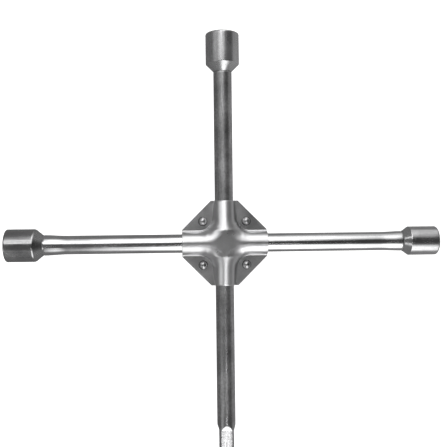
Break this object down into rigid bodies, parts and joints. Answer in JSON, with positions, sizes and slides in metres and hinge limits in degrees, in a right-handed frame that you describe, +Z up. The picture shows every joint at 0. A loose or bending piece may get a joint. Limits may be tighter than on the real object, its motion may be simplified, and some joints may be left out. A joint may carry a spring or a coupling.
{
  "type": "lug wrench",
  "caption": "Cross-shaped lug wrench: round bars crossed in a riveted pressed-steel hub, hexagon sockets on three arms and a square drive with a spring ball on the fourth.",
  "frame": {"origin": "below the centre of the hub, at the height of the wrench's lowest point", "axes": "+X along the cross bar towards the 17 mm socket; +Y along the drive bar towards the 21 mm socket; +Z up, out of the hub's front cover"},
  "size_m": [0.376, 0.37, 0.036],
  "materials": {
    "bar_chrome": "bright chrome plate over ground forged steel bar",
    "bar_satin_chrome": "satin chrome plate with fine lengthwise grinding marks",
    "socket_satin_chrome": "satin chrome plate over a forged socket",
    "socket_chrome": "chrome plate over a forged socket, duller inside",
    "cover_chrome": "bright chrome plate over pressed sheet steel",
    "rivet_chrome": "plated rivet steel with small setting marks",
    "ball_steel": "polished bearing steel",
    "spring_steel": "plain spring wire"
  },
  "bodies": {
    "wrench": {"cross_bar": "bar_chrome", "drive_bar": "bar_satin_chrome", "socket_21": "socket_satin_chrome", "socket_19": "socket_chrome", "socket_17": "socket_chrome", "front_cover": "cover_chrome", "rear_cover": "cover_chrome", "rivet_1": "rivet_chrome", "rivet_2": "rivet_chrome", "rivet_3": "rivet_chrome", "rivet_4": "rivet_chrome", "detent_spring": "spring_steel"},
    "detent": {"detent_ball": "ball_steel"}
  },
  "joints": [
    {"name": "detent_press", "type": "slide", "parent": "wrench", "child": "detent", "axis": [0, 0, 1], "range_m": [0, 0.001], "stiffness_N_per_m": 4000, "springref_m": -0.0015, "deforming": ["detent_spring"]}
  ]
}
